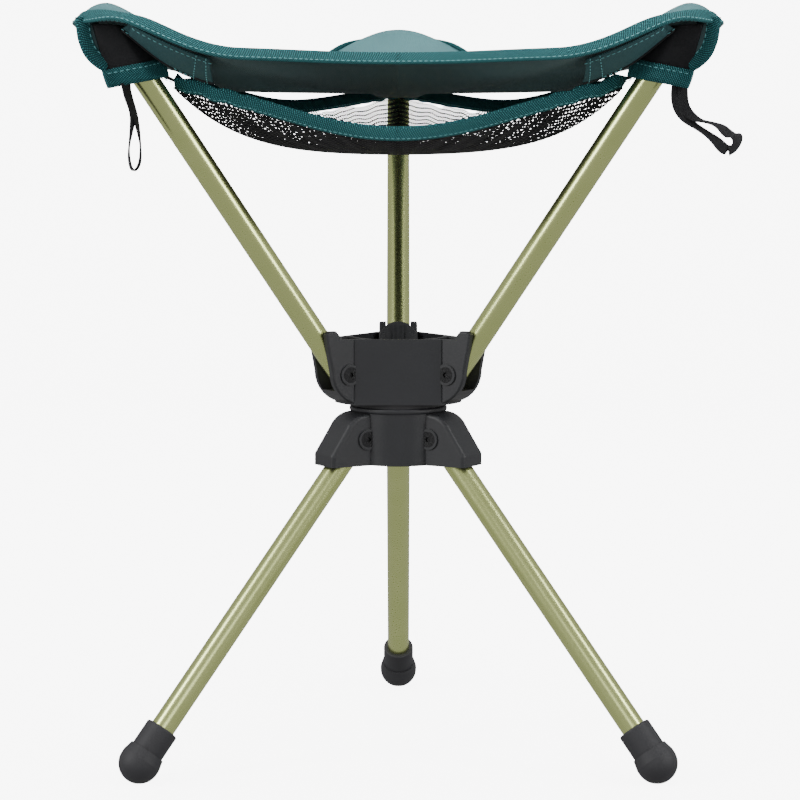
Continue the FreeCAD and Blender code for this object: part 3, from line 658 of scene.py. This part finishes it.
def pocket_loops():
    loops = []
    for t in np.linspace(0, 1, 22):
        bow = np.array([-3.0, 2.0]) * MM * math.sin(math.pi * t) * 0.5
        drop = (STRAP_TOP - MOUTH) * (1 - t) * 0.5
        inner = STRAP_TOP[0] * (1 - t) + CROWN[0] * t + bow - drop[0]
        outer = STRAP_TOP[1] * (1 - t) + CROWN[1] * t - drop[1]
        loops.append(sheath_loop(inner, outer, 0.5 * MM))
    return np.array(loops)


def loop_solid(name, loops, material, capped):
    rows, around = loops.shape[:2]
    faces = []
    for i in range(rows - 1):
        for j in range(around):
            k = (j + 1) % around
            faces.append((i * around + j, i * around + k, (i + 1) * around + k, (i + 1) * around + j))
    if capped:
        half = around // 2
        for j in range(half - 1):
            a, b = (rows - 1) * around + j, (rows - 1) * around + j + 1
            c, d = (rows - 1) * around + around - 2 - j, (rows - 1) * around + around - 1 - j
            faces.append((a, b, c, d))
    flat = loops.reshape(-1, 3)
    run = running_lengths(loops)
    return make_mesh(name, flat, faces, [material], run.reshape(-1, 2))


def add_thickness(made, thickness):
    """Gives an open shell real thickness, inwards."""
    shell = made.modifiers.new("cloth", "SOLIDIFY")
    shell.thickness, shell.offset = thickness, -1
    bpy.context.view_layer.objects.active = made
    made.select_set(True)
    bpy.ops.object.modifier_apply(modifier=shell.name)
    made.select_set(False)
    return made


def strap_loops(thickness_out):
    loops = []
    for t in np.linspace(0, 1, 5):
        inner = MOUTH[0] * (1 - t) + STRAP_TOP[0] * t
        outer = MOUTH[1] * (1 - t) + STRAP_TOP[1] * t
        belly = 0.25 * MM * math.sin(math.pi * t)
        loops.append(sheath_loop(inner, outer, 0.7 * MM, thickness_out + belly))
    return np.array(loops)


for corner, azimuth in CORNERS.items():
    body = f"strut_{corner}"
    pocket = loop_solid(f"corner_pocket_{corner}", place(pocket_loops(), azimuth), POCKET, True)
    add_thickness(pocket, 0.4 * MM)
    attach(pocket, body)
    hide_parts(f"corner_pocket_{corner}")
    strap = loop_solid(f"pocket_strap_{corner}", place(strap_loops(1.3 * MM), azimuth), TAPE, False)
    add_thickness(strap, 1.1 * MM)
    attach(strap, body)
    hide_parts(f"pocket_strap_{corner}")
    inner = MOUTH[0] * (1 - SEAM_RISE) + STRAP_TOP[0] * SEAM_RISE
    outer = MOUTH[1] * (1 - SEAM_RISE) + STRAP_TOP[1] * SEAM_RISE
    line = inner + (outer - inner) * np.linspace(0.04, 0.96, 40)[:, None]
    half = sheath_half(line, 0.7 * MM) + 1.45 * MM
    for name, side in (("left", -1), ("right", 1)):
        points = np.stack([line[:, 0], side * half, line[:, 1]], axis=1)
        lift = np.tile([0, side, 0.0], (len(points), 1))
        thread = corner_stitches(f"strap_stitches_{name}_{corner}", azimuth, points, lift)
        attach(thread, body)
print("pocket loops:", pocket_loops().shape)

# %% [markdown]
# ## End tapes
# Behind each sheath a strip of the seat cloth runs from the seat's tip down to the strap, in the corner's
# upright plane. A ribbed tape binds its outer edge, with a row of stitches on each
# face.

# %% End tapes
TAPE_OUTER = np.array([[208.5, 0, 441], [208, 0, 434], [206.8, 0, 427], [203, 0, 418.5],
                       [195, 0, 412.2], [190.5, 0, 411]]) * MM
STRIP_INNER = np.array([[CROWN[1][0] - 4 * MM, 0, CROWN[1][1] + 2 * MM],
                        [STRAP_TOP[1][0] - 3 * MM, 0, STRAP_TOP[1][1]]])
STRIP_T = 0.9 * MM
TAPE_W, TAPE_T = 9.0 * MM, 2.4 * MM


def end_tape_lines(count=60):
    """The tape's middle line, and its width's direction, away from the strut."""
    outer = smooth_curve(TAPE_OUTER, count)
    tangent = unit(np.gradient(outer, axis=0))
    wide = np.stack([-tangent[:, 2], 0 * tangent[:, 0], tangent[:, 0]], axis=1)
    return outer - wide * TAPE_W / 2, wide


for corner, azimuth in CORNERS.items():
    body = f"strut_{corner}"
    middle_line, outwards = end_tape_lines()
    across = np.tile([0.0, 1.0, 0.0], (len(middle_line), 1))
    tape = corner_strip(f"end_tape_{corner}", azimuth, middle_line, outwards, across, TAPE_W, TAPE_T, TAPE)
    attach(tape, body)
    inner = smooth_curve(STRIP_INNER, len(middle_line))
    t = np.linspace(0, 1, 8)[:, None, None]
    grid = inner * (1 - t) + middle_line * t
    strip = thin_cloth(f"end_strip_{corner}", place(grid, azimuth), STRIP_T, [UNDERSIDE])
    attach(strip, body)
    for name, side in (("left", -1), ("right", 1)):
        lift = across * side
        seam = middle_line - outwards * TAPE_W * 0.36 + lift * TAPE_T * 0.42
        thread = corner_stitches(f"end_tape_stitches_{name}_{corner}", azimuth, seam, lift)
        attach(thread, body)
print("end tapes:", len(CORNERS))

# %% [markdown]
# ## Gussets
# Beside each pocket a leaf of ribbed tape joins the seat's edge to the sheath and carries the load down to
# the cloth's belly. It is a ruled surface between two curves: its upper edge runs just under the seat's
# binding, and its lower edge runs down the side of the pocket. Two rows of stitches close its inner end.

# %% Gusset shape
LEAF_UPPER = np.array([[189, 33, 435], [175, 40, 427], [160, 43, 421], [146, 43, 417]]) * MM
LEAF_LOWER = np.array([[187, 16, 434], [168, 12.5, 421], [156, 13, 413.5], [140, 16, 407],
                       [133, 20, 405]]) * MM


def leaf_grid(side):
    upper, lower = smooth_curve(LEAF_UPPER, 40), smooth_curve(LEAF_LOWER, 40)
    t = np.linspace(0, 1, 14)[:, None, None]
    grid = upper * (1 - t) + lower * t
    normal = grid_normals(grid)
    grid = grid + normal * (1.6 * MM) * np.sin(math.pi * t) * np.sign(normal[..., 1:2])
    return grid * [1, side, 1]


for corner, azimuth in CORNERS.items():
    for name, side in (("left", -1), ("right", 1)):
        grid = leaf_grid(side)
        leaf = thin_cloth(f"gusset_{name}_{corner}", place(grid, azimuth), 0.9 * MM * side, [GUSSET])
        bends(leaf)
        if side < 0:
            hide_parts(f"corner_gusset_{corner}")
        normal = grid_normals(grid) * side
        rows = {"rim": (grid[1], normal[1]), "end_a": (grid[:, -3], normal[:, -3]),
                "end_b": (grid[:, -8], normal[:, -8]), "low": (grid[-2, :-8], normal[-2, :-8])}
        for row, (line, lift) in rows.items():
            out = lift * np.sign(lift[:, 1:2]) * side
            thread = corner_stitches(f"gusset_{row}_stitches_{name}_{corner}", azimuth,
                                     line + out * 0.7 * MM, out, thick=0.26 * MM)
            bends(thread)
        rim_line = grid[-1]
        across = unit(grid[-1] - grid[-2])
        deep = unit(np.cross(unit(np.gradient(rim_line, axis=0)), across))
        piping = corner_strip(f"gusset_rim_{name}_{corner}", azimuth, rim_line, across, deep,
                              2.4 * MM, 1.7 * MM, POCKET)
        bends(piping)

# %% [markdown]
# ## The net pouch
# A slack pouch of black knitted net hangs under the seat. Its mouth is slack in front and tighter behind.
# The net is real geometry: a honeycomb laid on the pouch's surface, each cell a ring of thread round an
# open hole, so that light passes through it and the far side shows through the near one.

# %% Pouch surface
POUCH_LOW = 364.5 * MM
POUCH_CORNER = (150.0 * MM, 403.5 * MM)
MOUTH_FRONT, MOUTH_BACK = (90.0 * MM, 372.8 * MM), (78.0 * MM, 391.0 * MM)
NET_PITCH = 2.9 * MM
NET_T = 0.45 * MM
NET_HOLE = (0.72, 0.60)                    # how much of a cell's width and depth is open
NET_EDGE = 0.985                           # the net ends here, inside the binding; 1 is the mouth


def mouth_radius_height(angle):
    """Radius and height of the pouch's mouth at azimuths in degrees."""
    angle = np.asarray(angle, float) % 360
    to_corner = np.min([np.abs((angle - a + 180) % 360 - 180) for a in CORNERS.values()], axis=0)
    share = np.minimum(1, to_corner / 60.0)
    from_front = np.abs(angle - 270.0)
    front = smooth((64.0 - from_front) / 8.0)
    mid_r = MOUTH_FRONT[0] * front + MOUTH_BACK[0] * (1 - front)
    mid_z = MOUTH_FRONT[1] * front + MOUTH_BACK[1] * (1 - front)
    # a nearly straight side between two corners, seen from the axis, bowed by its own slack
    a = np.radians(60.0 * (1 - share))
    straight = POUCH_CORNER[0] * math.cos(math.radians(60)) / np.maximum(np.cos(a), 0.5)
    bow = (mid_r - POUCH_CORNER[0] * 0.5) * np.cos(math.pi / 2 * (1 - share)) ** 1.5
    radius = straight + bow
    height = POUCH_CORNER[1] + (mid_z - POUCH_CORNER[1]) * np.sin(math.pi / 2 * share) ** 0.72
    return radius, height


def bowl(share):
    """The pouch's height from its lowest point to its mouth, 0 to 1."""
    return 0.25 * share ** 2 + 0.75 * share ** 4.2


SHARES = np.linspace(0, 1, 81)
STEEPNESS = np.linspace(0, 0.8, 17)


def bowl_arc(steepness):
    """Lengths along the bowl's profile at SHARES, from its middle, for a mouth of radius 1."""
    steps = np.hypot(np.diff(SHARES), steepness * np.diff(bowl(SHARES)))
    return np.concatenate([[0], np.cumsum(steps)])


ARCS = np.array([bowl_arc(k) for k in STEEPNESS])


def laid_out(flat_x, flat_y):
    """Where points of the flat net lie in plan, so that lengths from its middle are kept; 1 is the mouth."""
    angle = np.degrees(np.arctan2(flat_y, flat_x))
    radius, height = mouth_radius_height(angle)
    level = (height - POUCH_LOW) / radius / (STEEPNESS[1] - STEEPNESS[0])
    low = np.clip(level.astype(int), 0, len(STEEPNESS) - 2)
    run = np.hypot(flat_x, flat_y) / radius
    found = np.array([np.interp(run, arc, SHARES, right=2.0) for arc in ARCS])
    pick = np.indices(low.shape)
    near, far = found[(low, *pick)], found[(low + 1, *pick)]
    share = near + (far - near) * (level - low)
    return share, np.minimum(share, 1) * radius, angle


def pouch_surface(flat_x, flat_y, lift):
    share, reach, angle = laid_out(flat_x, flat_y)
    share = np.minimum(share, 1)
    _, height = mouth_radius_height(angle)
    z = POUCH_LOW + (height - POUCH_LOW) * bowl(share)
    folds = np.sin(np.radians(angle) * 24) * 0.5 + np.sin(np.radians(angle) * 41 + 1.3) * 0.5
    z = z + 1.3 * MM * folds * np.clip((share - 0.45) * 2, 0, 1) * (1 - share ** 8 * 0.6) + lift
    a = np.radians(angle)
    return np.stack([reach * np.cos(a), reach * np.sin(a), z], axis=-1)


def honeycomb(azimuth):
    """Cells of the net whose centres lie in one corner's third: points, faces, UVs."""
    reach = POUCH_CORNER[0] * 1.1
    dx, dy = NET_PITCH, NET_PITCH * math.sqrt(3) / 2
    rows = int(reach / dy) + 1
    columns = int(reach / dx) + 1
    j, i = np.meshgrid(np.arange(-rows, rows + 1), np.arange(-columns, columns + 1), indexing="ij")
    cx, cy = (i + 0.5 * (j % 2)) * dx, j * dy
    cx, cy = cx.ravel(), cy.ravel()
    angle = np.degrees(np.arctan2(cy, cx))
    share, _, _ = laid_out(cx, cy)
    mine = np.abs((angle - azimuth + 180) % 360 - 180) <= 60.0
    inside = share < NET_EDGE
    cx, cy = cx[mine & inside], cy[mine & inside]
    turn = np.radians(30 + 60 * np.arange(6))
    hx, hy = np.cos(turn) * NET_PITCH / math.sqrt(3), np.sin(turn) * NET_PITCH / math.sqrt(3)
    outer = np.stack([cx[:, None] + hx, cy[:, None] + hy], axis=-1)
    inner = np.stack([cx[:, None] + hx * NET_HOLE[0], cy[:, None] + hy * NET_HOLE[1]], axis=-1)
    points, faces, uvs = [], [], []
    for ring, lift in ((outer, 0.0), (inner, 0.0), (outer, NET_T), (inner, NET_T)):
        points.append(pouch_surface(ring[..., 0], ring[..., 1], lift).reshape(-1, 3))
        uvs.append(ring.reshape(-1, 2))
    n = len(cx) * 6
    base = np.arange(len(cx))[:, None] * 6 + np.arange(6)
    nxt = np.arange(len(cx))[:, None] * 6 + (np.arange(6) + 1) % 6
    a, b = base.ravel(), nxt.ravel()
    faces.append(np.stack([a, a + n, b + n, b], axis=1))
    faces.append(np.stack([a + 2 * n, b + 2 * n, b + 3 * n, a + 3 * n], axis=1))
    faces.append(np.stack([a + n, a + 3 * n, b + 3 * n, b + n], axis=1))
    return np.concatenate(points), np.concatenate(faces), np.concatenate(uvs)


for corner, azimuth in CORNERS.items():
    points, faces, uvs = honeycomb(azimuth)
    net = make_mesh(f"mesh_pouch_{corner}", points, faces, [NET], uvs, is_smooth=False)
    bends(net)
    if corner == "front_left":
        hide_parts("mesh_pouch")
    print(net.name, "cells:", len(faces) // 18)

# %% [markdown]
# ## The pouch's mouth
# The same ribbed tape binds the mouth, and is gathered where it meets the straps.

# %% Pouch binding
MOUTH_TAPE_W, MOUTH_TAPE_T = 8.6 * MM, 2.0 * MM


def mouth_line(azimuth, count=90):
    angle = azimuth + np.linspace(-60, 60, count)
    radius, height = mouth_radius_height(angle)
    a = np.radians(angle)
    return np.stack([radius * np.cos(a), radius * np.sin(a), height], axis=1), np.abs(angle - azimuth)


for corner, azimuth in CORNERS.items():
    line, off = mouth_line(azimuth)
    inward = unit(-line * [1, 1, 0])
    crumple = np.exp(-(off / 11.0) ** 2)
    ripple = np.sin(np.arange(len(line)) * 1.9) * crumple
    rise = MOUTH_TAPE_W * 0.42 + ripple * 0.8 * MM
    line = line + inward * (ripple * 1.6 * MM)[:, None] + np.array([0, 0, 1.0]) * rise[:, None]
    tangent = unit(np.gradient(line, axis=0))
    for column, angle in ((0, azimuth - 60), (-1, azimuth + 60)):
        a = math.radians(angle)
        tangent[column] = [-math.sin(a), math.cos(a), 0]
    wide = unit(np.array([0, 0, 1.0]) - inward * 0.25 + inward * (ripple * 0.5)[:, None])
    wide = unit(wide - tangent * np.sum(wide * tangent, axis=1, keepdims=True))
    deep = np.cross(tangent, wide)
    tape = swept_strip(f"pouch_binding_{corner}", line, wide, deep, MOUTH_TAPE_W, MOUTH_TAPE_T, TAPE)
    bends(tape)
    if corner == "front_left":
        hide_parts("pouch_binding")
    for side, sign in (("out", 1), ("in", -1)):
        away = deep * sign
        seam = line - wide * MOUTH_TAPE_W * 0.33 + away * MOUTH_TAPE_T * 0.42
        thread = stitches(f"pouch_stitches_{side}_{corner}", seam, away, length=1.9 * MM, thick=0.24 * MM)
        bends(thread)
print("pouch mouth bound")

# %% [markdown]
# ## Pull loops
# A narrow black webbing hangs from each strap, to pull the pocket off the strut. It is one strip, down and
# back up, with an eye at its lower end. Two hang straight; the front right one has been pulled outwards and
# curls.

# %% Pull loops
LOOP_STRAIGHT = [[178, 0, 405], [177.5, 0.5, 398], [173.5, 1, 388], [171, 1, 378], [169.2, 0, 368],
                 [169.5, -1, 359], [172.5, -2, 354.8], [175.7, -1, 358], [177, 0, 367], [175.6, 1, 377],
                 [174.4, 2.2, 388], [178, 2.4, 398], [179.5, 2.0, 405]]
LOOP_KICKED = [[182, 0, 405], [181.5, 0.5, 397], [183, 1, 390], [188.5, 1, 383.5], [198, 1, 378],
               [206, 0, 373], [212, -2, 367.5], [217, -4, 366.5], [220.5, -3, 370.5], [219, 1, 375],
               [213, 2.4, 375.5], [208, 2.4, 380.5], [202, 2.6, 382.5], [193, 2.8, 384], [186.5, 2.6, 389],
               [184.5, 2.4, 396], [185, 2.2, 405]]
LOOP_W, LOOP_T = 6.4 * MM, 1.1 * MM


def webbing_loop(path, twist):
    line = smooth_curve(np.array(path) * MM, 110)
    tangent = unit(np.gradient(line, axis=0))
    t = np.linspace(0, 1, len(line))
    side = np.stack([np.sin(twist(t)), np.cos(twist(t)), 0 * t], axis=1)
    wide = unit(side - tangent * np.sum(side * tangent, axis=1, keepdims=True))
    deep = np.cross(tangent, wide)
    return line, wide, deep


def straight_twist(t):
    return 0.75 + 0.55 * np.cos(2 * math.pi * t)


def kicked_twist(t):
    return 0.5 + 0.9 * np.sin(math.pi * t) ** 2 + 0.5 * np.sin(5 * math.pi * t)


for corner, azimuth in CORNERS.items():
    kicked = corner == "front_right"
    path, twist = (LOOP_KICKED, kicked_twist) if kicked else (LOOP_STRAIGHT, straight_twist)
    line, wide, deep = webbing_loop(path, twist)
    loop = corner_strip(f"pull_loop_{corner}", azimuth, line, wide, deep, LOOP_W, LOOP_T, WEBBING, bulge=0.0)
    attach(loop, f"strut_{corner}")
    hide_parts(f"pull_loop_{corner}")
print("pull loops made")

# %% [markdown]
# ## The hard parts
# Tubes, hubs, feet and screws are already here, exactly to size. They only need their finishes.

# %% Finishes on the hard parts
HARD = {"leg_tube": TUBE, "strut_tube": TUBE, "lower_hub": HUB, "upper_hub": HUB, "rubber_foot": FOOT,
        "leg_pivot_plug": PLUG, "strut_pivot_plug": PLUG, "strut_tip_cap": PLUG, "leg_pivot_barrels": SCREW,
        "strut_pivot_barrels": SCREW, "leg_pivot_screws": SCREW, "strut_pivot_screws": SCREW,
        "swivel_bolt": ZINC, "swivel_top_washer": ZINC, "swivel_bottom_washer": ZINC, "swivel_lock_nut": ZINC,
        "swivel_bearing_ring": PLUG, "swivel_bushing": PLUG}
painted = 0
for made in list(bpy.data.objects):
    node = made.get("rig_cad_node")
    finish_for = next((m for stem, m in HARD.items() if node and node.startswith(stem)), None)
    if made.type == "MESH" and finish_for:
        made.data.materials.clear()
        made.data.materials.append(finish_for)
        painted += 1
print("hard parts painted:", painted)

# %% [markdown]
# ## Studio
# A pale sweep for floor and backdrop, soft lights on both sides, above, behind and weakly in front. The
# paper glows for the camera alone, so that it stays white behind the stool, and the dimmer sky draws dark
# bands along the polished tubes.

# %% Floor and lights
SWEEP_Y, SWEEP_R = 2.2, 1.5                # where the paper starts to rise, and its bend
PAPER_GLOW, SKY = 7.0, 0.42


def sweep_floor():
    bend = np.linspace(0, math.pi / 2, 24)[1:]
    profile = [(-6.0, 0.0), (SWEEP_Y, 0.0)]
    profile += [(SWEEP_Y + SWEEP_R * math.sin(a), SWEEP_R - SWEEP_R * math.cos(a)) for a in bend]
    profile += [(SWEEP_Y + SWEEP_R, 5.0)]
    points = [(x, y, z - 0.0002) for y, z in profile for x in (-7.0, 7.0)]
    faces = [(2 * i, 2 * i + 1, 2 * i + 3, 2 * i + 2) for i in range(len(profile) - 1)]
    material = bpy.data.materials.new("studio paper")
    material.use_nodes = True
    shader = material.node_tree.nodes["Principled BSDF"]
    shader.inputs["Base Color"].default_value = (0.93, 0.93, 0.93, 1)
    shader.inputs["Emission Color"].default_value = (1, 1, 1, 1)
    shader.inputs["Emission Strength"].default_value = PAPER_GLOW
    shader.inputs["Roughness"].default_value = 0.9
    floor = make_mesh("studio_floor", points, faces, [material])
    floor.visible_diffuse = False
    floor.visible_glossy = False


def area_light(name, place_at, aim, size, power, colour=(1, 1, 1)):
    data = bpy.data.lights.new(name, "AREA")
    data.shape, data.size, data.size_y, data.energy, data.color = "RECTANGLE", size[0], size[1], power, colour
    made = bpy.data.objects.new(name, data)
    made.location = Vector(place_at) + Vector((0, AXIS_Y, 0))
    made.rotation_euler = (Vector(aim) - Vector(place_at)).to_track_quat("-Z", "Y").to_euler()
    bpy.context.scene.collection.objects.link(made)


sweep_floor()
world = bpy.data.worlds.new("studio")
world.use_nodes = True
world.node_tree.nodes["Background"].inputs["Color"].default_value = (1, 1, 1, 1)
world.node_tree.nodes["Background"].inputs["Strength"].default_value = SKY
bpy.context.scene.world = world
area_light("key_left", (-2.1, -1.2, 1.3), (0, 0, 0.25), (0.7, 1.8), 46)
area_light("key_right", (2.1, -1.0, 1.2), (0, 0, 0.25), (0.6, 1.8), 34)
area_light("overhead", (0, -0.2, 2.6), (0, 0, 0.3), (0.5, 2.4), 26)
area_light("front_fill", (0.2, -3.0, 0.9), (0, 0, 0.3), (1.6, 0.8), 9)
area_light("backdrop", (0, 1.0, 3.0), (0, 3.6, 1.2), (4.0, 1.5), 90)
print("studio ready")

# %% [markdown]
# ## Camera
# A long lens a metre and a half in front of the stool, at the height of the upper struts, looking slightly
# down.

# %% Camera
CAMERA_SIDE, CAMERA_BACK, CAMERA_UP = 0.0011, 1.470, 0.363
CAMERA_DIP = 0.10                          # radians below level
LENS, SENSOR = 108.8, 36.0

camera_data = bpy.data.cameras.new("camera")
camera_data.lens, camera_data.sensor_width = LENS, SENSOR
camera = bpy.data.objects.new("camera", camera_data)
camera.location = (CAMERA_SIDE, -CAMERA_BACK + AXIS_Y, CAMERA_UP)
camera.rotation_euler = (math.radians(90) - CAMERA_DIP, 0, 0)
bpy.context.scene.collection.objects.link(camera)
bpy.context.scene.camera = camera
print("camera at", tuple(round(v, 3) for v in camera.location))
